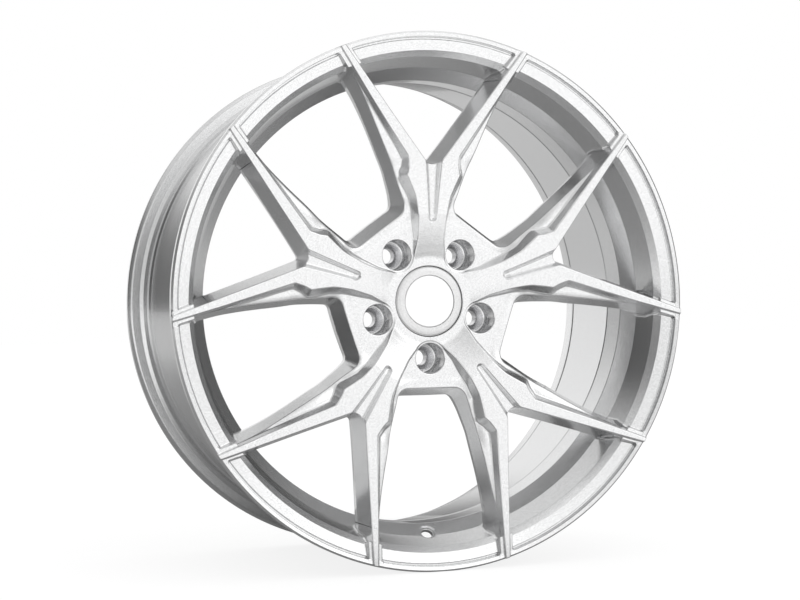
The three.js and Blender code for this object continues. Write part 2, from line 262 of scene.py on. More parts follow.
def land_outline():
    pocket = polar(BOLT_CIRCLE_RADIUS, LUG_ANGLE)
    towards_axis = math.degrees(math.atan2(-pocket[1], -pocket[0]))
    round_pocket = arc(pocket, 17.6, towards_axis, -181.5)
    trunk = spline([
        (13.4, 60), (13.9, 75), (14.6, 85), (17.2, 100), (20.2, 108), (23.8, 116), (26.2, 121),
    ])
    shoulder = [
        (26.7, 122.3), (26.6, 124.2), (25.7, 128.5), (25.5, 131), (25.5, 138.6), (25.8, 140.4),
        (27.6, 143.2),
    ]
    tip = along(shoulder[-1], 34.7, 170)
    start = [(-60, -60), polar(-20, LUG_ANGLE), polar(38.4, LUG_ANGLE)]
    return np.concatenate([start, round_pocket[1:], trunk, shoulder, [tip, (-60, 330)]])


def groove_outline():
    end = arc((0, 81.7), 4.2, 270, 360)
    side = spline([end[-1], (5.5, 100), (6.4, 112), (8.0, 131)])
    return np.concatenate([[(-40, 77.5)], end, side[1:], [(8.6, 140), (8.6, 175), (-40, 175)]])


def outline_distance(outline, x, z):
    """Signed distance in plan from a closed outline, negative inside."""
    nearest = np.full(x.shape, np.inf)
    inside = np.zeros(x.shape, bool)
    for (x0, z0), (x1, z1) in zip(outline, np.roll(outline, -1, 0)):
        dx, dz = x1 - x0, z1 - z0
        share = np.clip(((x - x0) * dx + (z - z0) * dz) / (dx * dx + dz * dz + 1e-12), 0, 1)
        nearest = np.minimum(nearest, (x - x0 - share * dx) ** 2 + (z - z0 - share * dz) ** 2)
        crosses = (z0 > z) != (z1 > z)
        if z1 != z0:
            inside ^= crosses & (x < x0 + (z - z0) * dx / dz)
    return np.where(inside, -1, 1) * np.sqrt(nearest)


WINDOW = window_outline()
FORK = fork_outline()
LAND = land_outline()
GROOVE = groove_outline()
LIP_SECTION = np.array(LIP_PROFILE, float)


def plan_of(x, z):
    """Everything that depends only on the place in plan. The outlines are folded into one half sector."""
    radius = np.hypot(x, z)
    angle = np.arctan2(x, z)
    folded = np.abs((angle + SECTOR / 2) % SECTOR - SECTOR / 2)
    px, pz = radius * np.sin(folded), radius * np.cos(folded)
    pocket = polar(BOLT_CIRCLE_RADIUS, LUG_ANGLE)
    return {
        "ring_radius": radius,
        "x": x,
        "z": z,
        "radius": radius,
        "window": outline_distance(WINDOW, px, pz),
        "fork": outline_distance(FORK, px, pz),
        "land": outline_distance(LAND, px, pz),
        "groove": outline_distance(GROOVE, px, pz),
        "pocket": np.hypot(px - pocket[0], pz - pocket[1]),
    }


# ---- the sculpted body as one signed distance, negative inside ----
def smooth_min(a, b, blend):
    share = np.clip(0.5 + 0.5 * (b - a) / blend, 0, 1)
    return b + (a - b) * share - blend * share * (1 - share)


def smooth_max(a, b, blend):
    return -smooth_min(-a, -b, blend)


def slope_length(run):
    return 1 / np.sqrt(1 + run * run)


def body_distance(plan, y):
    radius = plan["radius"]
    land_y = land_depth(radius)
    edge_y = window_edge(radius)
    run = flank_run(radius)

    ledge_rise = LEDGE_FALL * smooth_min(plan["window"], np.full_like(radius, LEDGE_WIDTH), LEDGE_ROUNDING)
    ledge = edge_y - ledge_rise - y
    land = smooth_max(land_y - y, (plan["land"] - run * (y - land_y)) * slope_length(run), LAND_EDGE)
    front = smooth_min(ledge, land, LAND_FOOT)

    foot_y = wall_foot(radius)
    window_wall = -plan["window"] - WINDOW_RUN * (np.minimum(y, foot_y) - edge_y)
    window_wall = window_wall * slope_length(WINDOW_RUN)
    fork_wall = (-plan["fork"] - FORK_RUN * (np.minimum(y, foot_y) - land_y)) * slope_length(FORK_RUN)
    back = y - spoke_back(radius)
    spokes = smooth_max(smooth_max(front, window_wall, WALL_EDGE), fork_wall, WALL_EDGE)
    spokes = smooth_max(spokes, back, BACK_EDGE)

    groove_floor = land_y + GROOVE_DEPTH + GROOVE_DEEPENS * (radius - GROOVE_START)
    groove = (plan["groove"] + GROOVE_RUN * (y - land_y)) * slope_length(GROOVE_RUN)
    groove = smooth_max(groove, y - groove_floor, GROOVE_BOTTOM)
    spokes = smooth_max(spokes, -groove, GROOVE_EDGE)
    return hub_cuts(plan, spokes, y)


def hub_cuts(plan, body, y):
    """The bolt pockets, the cap's recess and the bore."""
    radius = plan["radius"]
    pocket = smooth_max(plan["pocket"] - POCKET_RADIUS, y - POCKET_FLOOR, POCKET_BOTTOM)
    body = smooth_max(body, -pocket, POCKET_EDGE)
    body = smooth_max(body, SEAT_RADIUS + SEAT_CLEARANCE - plan["pocket"], FINE_EDGE)
    recess = smooth_max(radius - CAP_RECESS_RADIUS, y - CAP_RECESS_FLOOR, BORE_EDGE)
    body = smooth_max(body, -recess, RECESS_EDGE)
    body = smooth_max(body, CAP_BORE_RADIUS - radius, BORE_EDGE)
    bore = np.maximum(radius - HUB_BORE_RADIUS, HUB_BORE_FRONT - y)
    return smooth_max(body, -bore, RECESS_EDGE)


def collar_distance(plan, y):
    """The low frame round each spoke tip where it crosses the lip."""
    radius = plan["radius"]
    width = np.where(radius < COLLAR_WIDENS, COLLAR_WIDTH, COLLAR_OUTER_WIDTH)
    top = land_depth(radius) + COLLAR_DEPTH
    aside = np.maximum(plan["land"], -plan["fork"])
    inner_end = COLLAR_INNER - radius + COLLAR_END_RUN * (y - COLLAR_END_DEPTH)
    collar = smooth_max(aside - width - COLLAR_RUN * (y - top), top - y, LAND_EDGE)
    collar = smooth_max(collar, inner_end, LAND_EDGE)
    collar = smooth_max(collar, radius - COLLAR_OUTER, LAND_EDGE)
    return smooth_max(collar, y - COLLAR_BACK, LAND_EDGE)


def lip_distance(plan, y):
    """The rim's section, which only matters near the rim."""
    radius, depth = np.broadcast_arrays(plan["ring_radius"], y)
    distance = np.full(radius.shape, FAR)
    near = radius > LIP_REACH
    distance[near] = outline_distance(LIP_SECTION, radius[near], depth[near])
    return distance


def valve_cut(plan, body, y):
    """The valve hole and the flat ring round its mouth, both square to the tilted hole."""
    across, down = y - VALVE_DEPTH, plan["z"] + VALVE_RING_RADIUS
    depth = -math.sin(VALVE_TILT) * across + math.cos(VALVE_TILT) * down
    aside = np.sqrt(plan["x"] ** 2 + across**2 + down**2 - depth**2 + 1e-9)
    body = smooth_max(body, VALVE_RADIUS - aside, BORE_EDGE)
    ring = smooth_max(aside - VALVE_FLAT_RADIUS, -VALVE_FLAT_DEPTH - depth, FINE_EDGE)
    return smooth_max(body, -ring, FINE_EDGE)


def wheel_distance(plan, y):
    """The face together with the lip and the front of the barrel."""
    radius = plan["radius"]
    spokes = smooth_max(body_distance(plan, y), radius - FLANGE_RADIUS + SPOKE_RIM_GAP, LAND_EDGE)
    over_lip = smooth_max(spokes, y - OVER_LIP_BACK, 0.5)
    spokes = np.where(radius > OVER_LIP_RADIUS, over_lip, spokes)
    lip = smooth_min(lip_distance(plan, y), collar_distance(plan, y), LAND_EDGE)
    lip = valve_cut(plan, lip, y)
    return smooth_min(spokes, lip, np.interp(y, [-115.0, -106.0], [FRONT_SEAM, BACK_SEAM]))


def distance_at(points):
    plan = plan_of(points[:, 0], points[:, 2])
    return wheel_distance(plan, points[:, 1])


def gradient_at(points, step=0.02):
    """Distance and its gradient at points. The plan is shared where only the depth changes."""
    plan = plan_of(points[:, 0], points[:, 2])
    here = wheel_distance(plan, points[:, 1])
    gradient = np.empty_like(points)
    gradient[:, 1] = (wheel_distance(plan, points[:, 1] + step) - here) / step
    for axis in (0, 2):
        moved = points.copy()
        moved[:, axis] += step
        gradient[:, axis] = (distance_at(moved) - here) / step
    return here, gradient


# ---- drawing the surface as quads ----
def surface_quads(values, wraps):
    """One point for each grid cell that the surface crosses, in grid steps, and the quads between them."""
    if wraps:
        values = np.concatenate([values[-1:], values, values[:1]])
    shape = np.array(values.shape) - 1
    around = [(-1, -1), (0, -1), (0, 0), (-1, 0)]
    places, cells, rings = [], [], []
    start = 0
    for axis in range(3):
        first = np.moveaxis(values, axis, 0)[:-1]
        second = np.moveaxis(values, axis, 0)[1:]
        found = np.argwhere((first < 0) != (second < 0))
        a = first[tuple(found.T)]
        b = second[tuple(found.T)]
        order = [axis] + [k for k in range(3) if k != axis]
        edge = np.empty_like(found)
        edge[:, order] = found
        place = edge.astype(float)
        place[:, axis] += a / (a - b)
        across = ((axis + 1) % 3, (axis + 2) % 3)
        ring = np.repeat(edge[:, None, :], 4, 1)
        for corner, (da, db) in enumerate(around):
            ring[:, corner, across[0]] += da
            ring[:, corner, across[1]] += db
        flipped = a > 0
        ring[flipped] = ring[flipped][:, ::-1]
        inside_grid = ((ring >= 0) & (ring < shape)).all(2)
        whole = inside_grid.all(1)
        if wraps:
            whole &= edge[:, 0] >= 1
            whole &= edge[:, 0] <= shape[0] - 1
        cell = ring.reshape(-1, 3)
        spot = np.repeat(place, 4, 0)
        if wraps:
            seam = cell[:, 0] == 0
            cell[seam, 0] = shape[0] - 1
            spot[seam, 0] += shape[0] - 1
        good = inside_grid.reshape(-1)
        places.append(spot[good])
        cells.append(np.ravel_multi_index(cell[good].T, shape))
        number = np.full(len(good), -1)
        number[good] = start + np.arange(good.sum())
        start += good.sum()
        rings.append(number.reshape(-1, 4)[whole])
    active, inverse = np.unique(np.concatenate(cells), return_inverse=True)
    places = np.concatenate(places)
    count = np.bincount(inverse)
    points = np.stack([np.bincount(inverse, places[:, k]) / count for k in range(3)], 1)
    quads = inverse[np.concatenate(rings)]
    corner_cells = np.stack(np.unravel_index(active, shape), 1)
    if wraps:
        points[:, 0] -= 1
        corner_cells[:, 0] -= 1
    return points, quads, corner_cells


def at_steps(steps, places):
    """Coordinates at fractional grid steps."""
    return np.interp(steps, np.arange(len(places)), places)


def full_turn(count):
    return np.linspace(0, 2 * math.pi, count, endpoint=False)


def settle(points, hold=None, rounds=2, reach=0.6):
    """Moves points onto the surface, holding some on a cut, and gives their normals."""
    for _ in range(rounds):
        distance, gradient = gradient_at(points)
        length = np.maximum((gradient**2).sum(1), 0.05)
        move = -np.clip(distance, -reach, reach)[:, None] * gradient / length[:, None]
        points = points + move
        if hold:
            points = hold(points)
    _, gradient = gradient_at(points)
    return points, gradient / np.linalg.norm(gradient, axis=1)[:, None]


def oriented(points, quads, normals):
    a, b, c, d = (points[quads[:, k]] for k in range(4))
    face = np.cross(c - a, d - b)
    agrees = (face * normals[quads[:, 0]]).sum(1).mean() > 0
    return quads if agrees else quads[:, ::-1]


DETAIL = 1.0


def stations(*spans):
    """Grid coordinates over spans of (start, end, step)."""
    parts = []
    for start, end, step in spans:
        count = max(2, round(abs(end - start) / (step * DETAIL)))
        parts.append(np.linspace(start, end, count, endpoint=False))
    return np.concatenate(parts + [[spans[-1][1]]])


def round_axis(reach, depth, turn):
    """Points at a distance from the wheel's axis, a depth along it and an angle from the first spoke."""
    return np.stack([reach * np.sin(turn), depth, reach * np.cos(turn)], 1)


def plan_round_axis(angle, radius):
    """The plan of a grid with angles along its first side and radii along its second."""
    return plan_of(radius[None, :, None] * np.sin(angle)[:, None, None],
                   radius[None, :, None] * np.cos(angle)[:, None, None])


def spoke_surface():
    """One spoke, from inside the hub to just short of the lip."""
    side = stations((-104, 104, SPOKE_CELL))
    out = stations((96.5, 221, SPOKE_CELL))
    depth = stations((-121, -54, SPOKE_CELL))
    plan = plan_of(side[:, None, None], out[None, :, None])
    values = wheel_distance(plan, depth[None, None, :])
    barrel_zone = (plan["radius"] > BARREL_ZONE_RADIUS) & (depth[None, None, :] > ARM_BACK)
    values = np.where(barrel_zone, np.maximum(values, 1.0), values)
    steps, quads, _ = surface_quads(values, False)
    points = np.stack([
        at_steps(steps[:, 0], side), at_steps(steps[:, 2], depth), at_steps(steps[:, 1], out),
    ], 1)
    points, normals = settle(points)
    return points, oriented(points, quads, normals)


def hub_surface():
    angle = full_turn(round(HUB_COLUMNS / DETAIL))
    radius = stations((30, 113, HUB_CELL))
    depth = stations((-112.5, -48.6, HUB_CELL))
    plan = plan_round_axis(angle, radius)
    values = wheel_distance(plan, depth[None, None, :])
    steps, quads, _ = surface_quads(values, True)
    turn = steps[:, 0] * (angle[1] - angle[0])
    points = round_axis(at_steps(steps[:, 1], radius), at_steps(steps[:, 2], depth), turn)
    points, normals = settle(points)
    return points, oriented(points, quads, normals)


def rim_surface():
    """The lip, the wall behind it and the spoke tips, right round the wheel."""
    tip = TIP_ANGLE
    near_tip = math.radians(3.4)
    half = stations((0, tip - near_tip, COARSE_TURN), (tip - near_tip, tip + near_tip, FINE_TURN),
                    (tip + near_tip, LUG_ANGLE, COARSE_TURN))
    sector = np.concatenate([half, (SECTOR - half[::-1])[1:-1]])
    angle = np.concatenate([sector + SECTOR * k for k in range(SPOKES)])
    near_valve = math.radians(3.0)
    valve = stations((math.pi - near_valve, math.pi + near_valve, FINE_TURN))
    angle = np.sort(np.concatenate([angle[np.abs(angle - math.pi) > 1.1 * near_valve], valve]))
    inside_arms = stations((218.8, 225.2, 0.8))
    radius = np.concatenate([inside_arms[:-1], stations((225.2, 236, 0.55), (236, 262.5, 0.4))])
    depth = stations((-123.6, -101, 0.4), (-101, -66.9, 0.8))
    plan = plan_round_axis(angle, radius)
    plan["ring_radius"] = radius[None, :, None]
    values = wheel_distance(plan, depth[None, None, :])
    steps, quads, cells = surface_quads(values, True)
    closed = np.concatenate([angle[-1:] - 2 * math.pi, angle, angle[:1] + 2 * math.pi])
    turn = at_steps(steps[:, 0] + 1, closed)
    points = round_axis(at_steps(steps[:, 1], radius), at_steps(steps[:, 2], depth), turn)

    on_arm = points[:, 1] < ARM_BACK
    end_cell = len(inside_arms) - 1
    inner = on_arm & (cells[:, 1] == end_cell)
    beyond = on_arm & (cells[:, 1] < end_cell)
    quads = quads[~beyond[quads].any(1)]
    last = cells[:, 2] == cells[:, 2].max()
    cell_middle = (closed[1:-1] + closed[2:]) / 2
    cell_angle = cell_middle[cells[:, 0] % len(cell_middle)]
    spoke = np.round(turn / SECTOR) * SECTOR
    tip_angle = spoke + np.where(turn > spoke, tip, -tip)
    tip_way = np.stack([np.sin(tip_angle), np.zeros_like(turn), np.cos(tip_angle)], 1)

    def hold(moved):
        gap = ARM_END - (moved * tip_way).sum(1)
        moved[inner] += (gap[:, None] * tip_way)[inner]
        ring_radius = np.hypot(moved[:, 0], moved[:, 2])
        moved[last] = round_axis(ring_radius, np.full_like(turn, RIM_FRONT_BACK), cell_angle)[last]
        return moved

    points, normals = settle(points, hold, rounds=3)
    return points, oriented(points, quads, normals), normals, cell_middle, last


# ---- meshes ----
def mesh_from(name, points, faces, normals=None):
    """A mesh in metres from points in millimetres. The normals, if given, are one for each point."""
    mesh = bpy.data.meshes.new(name)
    mesh.vertices.add(len(points))
    mesh.vertices.foreach_set("co", (points * MM).astype(np.float32).ravel())
    mesh.loops.add(faces.size)
    mesh.loops.foreach_set("vertex_index", faces.astype(np.int32).ravel())
    mesh.polygons.add(len(faces))
    mesh.polygons.foreach_set("loop_start", np.arange(0, faces.size, faces.shape[1], dtype=np.int32))
    mesh.update(calc_edges=True)
    mesh.validate()
    mesh.shade_smooth()
    if normals is not None:
        mesh.normals_split_custom_set_from_vertices(normals.tolist())
    return mesh


def positions(mesh):
    co = np.empty(len(mesh.vertices) * 3, np.float32)
    mesh.vertices.foreach_get("co", co)
    return co.reshape(-1, 3).astype(float) / MM


def piece(name, mesh, material, body, node):
    obj = bpy.data.objects.new(name, mesh)
    bpy.context.scene.collection.objects.link(obj)
    mesh.materials.clear()
    mesh.materials.append(material)
    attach(obj, body)
    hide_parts(node)
    return obj


def trimmed(name, points, quads, planes):
    """The surface cut by planes, each (point, outward way), with the cuts closed."""
    mesh = mesh_from(name, points, quads)
    cut = bmesh.new()
    cut.from_mesh(mesh)
    for place, way in planes:
        bmesh.ops.bisect_plane(cut, geom=cut.verts[:] + cut.edges[:] + cut.faces[:], dist=1e-7,
                               plane_co=Vector(place) * MM, plane_no=Vector(way), clear_outer=True)
    closing = bmesh.ops.holes_fill(cut, edges=[e for e in cut.edges if e.is_boundary], sides=0)
    bmesh.ops.triangulate(cut, faces=closing["faces"])
    cut.to_mesh(mesh)
    cut.free()
    mesh.shade_smooth()
    return mesh


def set_surface_normals(mesh):
    """Gives every point of the mesh its normal from the distance field."""
    _, gradient = gradient_at(positions(mesh))
    normals = gradient / np.maximum(np.linalg.norm(gradient, axis=1)[:, None], 1e-6)
    mesh.normals_split_custom_set_from_vertices(normals.tolist())
    return normals


def turned_copy(mesh, normals, angle, name):
    """The same mesh and normals, turned about the wheel's axis."""
    turn = np.array(Matrix.Rotation(angle, 3, "Y"))
    copy = mesh.copy()
    copy.name = name
    copy.vertices.foreach_set("co", (positions(mesh) @ turn.T * MM).astype(np.float32).ravel())
    copy.update()
    copy.normals_split_custom_set_from_vertices((normals @ turn.T).tolist())
    return copy


def rounded_profile(corners, closed=True):
    """A profile of (radius, y, rounding) with each corner turned into an arc: points and exact normals."""
    count = len(corners)
    points, normals = [], []
    for index in range(count):
        here = np.array(corners[index][:2], float)
        if not closed and index in (0, count - 1):
            other = np.array(corners[1 if index == 0 else count - 2][:2], float)
            way = (other - here) if index == 0 else (here - other)
            way /= np.linalg.norm(way)
            points.append(here)
            normals.append(np.array([-way[1], way[0]]))
            continue
        before = np.array(corners[index - 1][:2], float)
        after = np.array(corners[(index + 1) % count][:2], float)
        into = (here - before) / np.linalg.norm(here - before)
        away = (after - here) / np.linalg.norm(after - here)
        turn = math.atan2(into[0] * away[1] - into[1] * away[0], into @ away)
        room = 0.48 * min(np.linalg.norm(here - before), np.linalg.norm(after - here))
        cut = min(corners[index][2] * abs(math.tan(turn / 2)), room)
        steps = max(2, int(abs(math.degrees(turn)) / 9))
        radius = cut / max(abs(math.tan(turn / 2)), 1e-6)
        side = np.array([-into[1], into[0]]) * math.copysign(1, turn)
        centre = here - into * cut + side * radius
        for step in range(steps + 1):
            angle = turn * step / steps
            arm = -side * radius
            spun = np.array([arm[0] * math.cos(angle) - arm[1] * math.sin(angle),
                             arm[0] * math.sin(angle) + arm[1] * math.cos(angle)])
            points.append(centre + spun)
            tangent = np.array([into[0] * math.cos(angle) - into[1] * math.sin(angle),
                                into[0] * math.sin(angle) + into[1] * math.cos(angle)])
            normals.append(np.array([-tangent[1], tangent[0]]))
    return np.array(points), np.array(normals)


def lathe_arrays(corners, angles, closed=True):
    """Points, quads and normals of a profile turned about the wheel's axis, one column for each angle."""
    profile, normals = rounded_profile(corners, closed)
    outward = np.sign(sum(p[0] * q[1] - p[1] * q[0] for p, q in zip(profile, np.roll(profile, -1, 0))))
    normals = -normals * outward
    rows, columns = len(profile), len(angles)
    sin, cos = np.sin(angles)[:, None], np.cos(angles)[:, None]
    points = np.stack([profile[:, 0] * sin, np.broadcast_to(profile[:, 1], (columns, rows)),
                       profile[:, 0] * cos], 2).reshape(-1, 3)
    ways = np.stack([normals[:, 0] * sin, np.broadcast_to(normals[:, 1], (columns, rows)),
                     normals[:, 0] * cos], 2).reshape(-1, 3)
    column, row = np.meshgrid(np.arange(columns), np.arange(rows if closed else rows - 1), indexing="ij")
    after = (column + 1) % columns
    below = (row + 1) % rows
    here, beside = column * rows, after * rows
    quads = np.stack([here + row, beside + row, beside + below, here + below], -1).reshape(-1, 4)
    return points, oriented(points, quads, ways), ways


def lathe(name, corners, count=192):
    points, quads, normals = lathe_arrays(corners, full_turn(count))
    return mesh_from(name, points, quads, normals)


# ---- materials ----
def shader(name, color, metallic, roughness, coat=0.0, coat_roughness=0.05):
    material = bpy.data.materials.new(name)
    material.use_nodes = True
    nodes = material.node_tree.nodes
    bsdf = nodes["Principled BSDF"]
    bsdf.inputs["Base Color"].default_value = (*color, 1)
    bsdf.inputs["Metallic"].default_value = metallic
    bsdf.inputs["Roughness"].default_value = roughness
    bsdf.inputs["Coat Weight"].default_value = coat
    bsdf.inputs["Coat Roughness"].default_value = coat_roughness
    return material, bsdf


def node(material, kind, **settings):
    made = material.node_tree.nodes.new(kind)
    for name, value in settings.items():
        if name in made.inputs:
            made.inputs[name].default_value = value
        else:
            setattr(made, name, value)
    return made


def link(material, source, target):
    material.node_tree.links.new(source, target)


def mixed(material, factor, low, high):
    """A colour between low and high, by a factor from another node."""
    mix = node(material, "ShaderNodeMix", data_type="RGBA")
    colors = [socket for socket in mix.inputs if socket.type == "RGBA"]
    colors[0].default_value = (*low, 1)
    colors[1].default_value = (*high, 1)
    link(material, factor, mix.inputs["Factor"])
    return [socket for socket in mix.outputs if socket.type == "RGBA"][0]


def flake_paint(name, color, metallic=0.95, roughness=0.22):
    """Metallic paint: tiny flakes of differing brightness and tilt under a smooth clear coat."""
    material, bsdf = shader(name, color, metallic, roughness, coat=0.55, coat_roughness=0.06)
    place = node(material, "ShaderNodeTexCoord")
    flakes = node(material, "ShaderNodeTexVoronoi", Scale=1500.0)
    link(material, place.outputs["Object"], flakes.inputs["Vector"])
    tone = node(material, "ShaderNodeSeparateColor")
    link(material, flakes.outputs["Color"], tone.inputs["Color"])
    dull = tuple(0.9 * c for c in color)
    bright = tuple(min(1.0, 1.1 * c) for c in color)
    link(material, mixed(material, tone.outputs["Red"], dull, bright), bsdf.inputs["Base Color"])
    tilt = node(material, "ShaderNodeBump", Strength=0.12, Distance=0.00003)
    link(material, tone.outputs["Green"], tilt.inputs["Height"])
    link(material, tilt.outputs["Normal"], bsdf.inputs["Normal"])
    return material


def turned_metal(name, color, roughness=0.25):
    """Bright turned metal with a fine uneven grain in its gloss."""
    material, bsdf = shader(name, color, 1.0, roughness)
    place = node(material, "ShaderNodeTexCoord")
    grain = node(material, "ShaderNodeTexNoise", Scale=900.0, Detail=3.0)
    link(material, place.outputs["Object"], grain.inputs["Vector"])
    spread = node(material, "ShaderNodeMapRange")
    spread.inputs["To Min"].default_value = roughness * 0.8
    spread.inputs["To Max"].default_value = roughness * 1.3
    link(material, grain.outputs[0], spread.inputs["Value"])
    link(material, spread.outputs["Result"], bsdf.inputs["Roughness"])
    return material


def moulded_plastic(name, color, roughness):
    material, bsdf = shader(name, color, 0.0, roughness)
    place = node(material, "ShaderNodeTexCoord")
    grain = node(material, "ShaderNodeTexNoise", Scale=1800.0, Detail=2.0)
    link(material, place.outputs["Object"], grain.inputs["Vector"])
    bump = node(material, "ShaderNodeBump", Strength=0.15, Distance=0.00005)
    link(material, grain.outputs[0], bump.inputs["Height"])
    link(material, bump.outputs["Normal"], bsdf.inputs["Normal"])
    return material


SILVER = flake_paint("silver_paint", (0.78, 0.782, 0.785))
STEEL = turned_metal("bright_steel", (0.78, 0.78, 0.79))
CAP_SILVER = flake_paint("cap_silver", (0.80, 0.80, 0.80), metallic=0.6, roughness=0.38)
DISC = turned_metal("disc_aluminium", (0.9, 0.9, 0.9), roughness=0.3)
PLASTIC = moulded_plastic("dark_plastic", (0.03, 0.03, 0.032), 0.55)


# ---- the sculpted pieces ----
def make_hub():
    points, quads = hub_surface()
    planes = []
    for index in range(SPOKES):
        way = polar(1, index * SECTOR)
        planes.append(((HUB_END * way[0], 0, HUB_END * way[1]), (way[0], 0, way[1])))
    mesh = trimmed("hub_forging", points, quads, planes)
    set_surface_normals(mesh)
    piece("hub_forging", mesh, SILVER, "wheel", "hub")


def make_spokes():
    points, quads = spoke_surface()
    planes = [((0, 0, HUB_END), (0, 0, -1))]
    for side in (1, -1):
        way = polar(1, side * TIP_ANGLE)
        planes.append(((ARM_END * way[0], 0, ARM_END * way[1]), (way[0], 0, way[1])))
    mesh = trimmed("spoke_forging_1", points, quads, planes)
    normals = set_surface_normals(mesh)
    for index in range(SPOKES):
        name = f"spoke_forging_{index + 1}"
        copy = mesh if index == 0 else turned_copy(mesh, normals, index * SECTOR, name)
        piece(name, copy, SILVER, "wheel", f"y_spoke_{index + 1}")


BARREL_PROFILE = [
    (220.0, -65.9, 2.0), (221.5, -33.5, 0.5), (221.0, -32.0, 0.8), (221.9, -30.0, 0.5), (236.5, 85.0, 0.5),
    (237.6, 86.2, 0.4), (237.8, 88.2, 0.4), (237.1, 89.4, 0.5), (238.0, 95.0, 10.0), (243.4, 119.4, 2.5),
    (247.0, HALF_WIDTH, 1.2), (256.0, HALF_WIDTH, 1.5), (259.0, 121.6, 2.0), (FLANGE_RADIUS, 118.5, 2.0),
    (FLANGE_RADIUS, 112.0, 3.0), (258.0, 108.5, 3.0), (249.0, 107.95, 3.0), (245.4, 106.8, 2.0),
    (243.7, 104.0, 3.0), (242.8, 90.0, 6.0), (244.1, 86.5, 4.0), (242.4, 80.0, 8.0), (226.4, -30.0, 40.0),
]


def front_crossing(start, end):
    """Where the section's line from start to end passes the plane at the back of the sculpted rim."""
    share = (RIM_FRONT_BACK - start[1]) / (end[1] - start[1])
    return (start[0] + share * (end[0] - start[0]), RIM_FRONT_BACK, 0.0)


def make_rim():
    points, quads, normals, angles, last = rim_surface()
    middle = points[quads, 1].mean(1)
    lip = quads[middle < LIP_BACK]
    used, numbers = np.unique(lip, return_inverse=True)
    mesh = mesh_from("lip_forging", points[used], numbers.reshape(lip.shape), normals[used])
    piece("lip_forging", mesh, SILVER, "wheel", "lip_ring")

    wall = quads[middle >= LIP_BACK]
    used, numbers = np.unique(wall, return_inverse=True)
    inner_end = front_crossing((231.0, -80.5), (220.0, -65.9))
    outer_end = front_crossing((242.6, -83.0), (226.4, -66.5))
    corners = [inner_end, *BARREL_PROFILE, (226.4, -66.5, 6.0), outer_end]
    back_points, back_quads, back_normals = lathe_arrays(corners, angles, closed=False)
    all_points = np.concatenate([points[used], back_points])
    all_normals = np.concatenate([normals[used], back_normals])
    all_quads = np.concatenate([numbers.reshape(wall.shape), back_quads + len(used)])
    mesh = mesh_from("barrel_forging", all_points, all_quads, all_normals)
    barrel = piece("barrel_forging", mesh, SILVER, "wheel", "barrel")
    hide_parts("rear_flange")


# ---- turned pieces in the hub ----
def make_lug_seats():
    corners = [
        (11.8, -68.5, 0.3), (12.5, -68.5, 0.3), (12.5, -50.3, 0.3), (7.5, -50.3, 0.4), (7.5, -61.5, 2.0),
    ]
    points, quads, normals = lathe_arrays(corners, full_turn(96))
    for index in range(SPOKES):
        place = polar(BOLT_CIRCLE_RADIUS, LUG_ANGLE + index * SECTOR)
        moved = points + np.array([place[0], 0, place[1]])
        name = f"seat_sleeve_{index + 1}"
        mesh = mesh_from(name, moved, quads, normals)
        piece(name, mesh, STEEL, "wheel", f"lug_seat_{index + 1}")


def make_cap():
    shell = [
        (0.02, -92.2, 0.0), (25.7, -92.2, 0.2), (25.7, -93.7, 0.3), (30.0, -93.6, 4.0), (33.0, -93.0, 2.0),
        (34.3, -91.6, 1.0), (34.3, -88.1, 0.4), (31.0, -88.1, 0.3), (31.0, -69.0, 0.5), (30.0, -68.0, 0.4),
        (28.7, -69.0, 0.4), (28.7, -89.6, 0.5), (0.02, -89.6, 0.0),
    ]
    piece("cap_moulding", lathe("cap_moulding", shell), CAP_SILVER, "cap", "cap_shell")
    disc = [
        (0.02, -93.5, 0.0), (24.6, -93.4, 0.6), (25.4, -93.0, 0.3), (25.4, -92.5, 0.2), (0.02, -92.5, 0.0),
    ]
    piece("cap_plate", lathe("cap_plate", disc), DISC, "cap", "cap_disc")
    wire = [(27.6 + 0.75 * math.cos(a), -72 + 0.75 * math.sin(a), 0.3) for a in full_turn(12)]
    piece("cap_wire", lathe("cap_wire", wire), STEEL, "cap", "cap_spring_wire")


def make_centring_ring():
    corners = [
        (33.3, -65.7, 0.3), (35.0, -65.7, 0.3), (36.0, -64.5, 0.4), (36.0, -50.3, 0.4), (34.2, -50.3, 0.3),
        (33.3, -51.4, 0.3),
    ]
    ring = lathe("spigot_ring", corners)
    piece("spigot_ring", ring, PLASTIC, "ring", "centring_ring")


make_hub()
make_spokes()
make_rim()
make_lug_seats()
make_cap()
make_centring_ring()


# ---- stage, light and camera ----
FLOOR = cad_box[0][2] - 0.0005
FLOOR_EDGE = 12.0
FLOOR_GREY = (0.25, 0.25, 0.25)
FLOOR_GLOW = 0.84
# What the wheel sees in the floor: its brightness by place, from in front of the wheel to behind it.
FLOOR_LIGHT = [(-1.2, 1.05), (-0.8, 0.95), (-0.45, 0.5), (-0.15, 0.12), (0.4, 0.1), (1.2, 0.42)]
# Brightness of the surroundings by compass direction: degrees clockwise from straight behind the wheel.
SURROUNDINGS = [
    (-180, 0.95), (-160, 0.7), (-130, 0.55), (-105, 0.24), (-80, 0.12), (-50, 0.08), (-28, 0.1),
    (-13, 0.95), (8, 0.95), (22, 0.1), (75, 0.1), (110, 0.6), (140, 1.05), (168, 1.15), (180, 0.95),
]
OVERHEAD = 0.8
OVERHEAD_FROM = 0.35
OVERHEAD_FULL = 0.75
KEY_POWER = 6
TOP_POWER = 5
CAMERA_PLACE = (-0.56768, -1.66585, -0.00591)
CAMERA_AZIMUTH = math.radians(-18.856)
CAMERA_ELEVATION = math.radians(-0.2588)
CAMERA_ROLL = math.radians(-0.794)
CAMERA_LENS = 76.77
CAMERA_SENSOR = 36


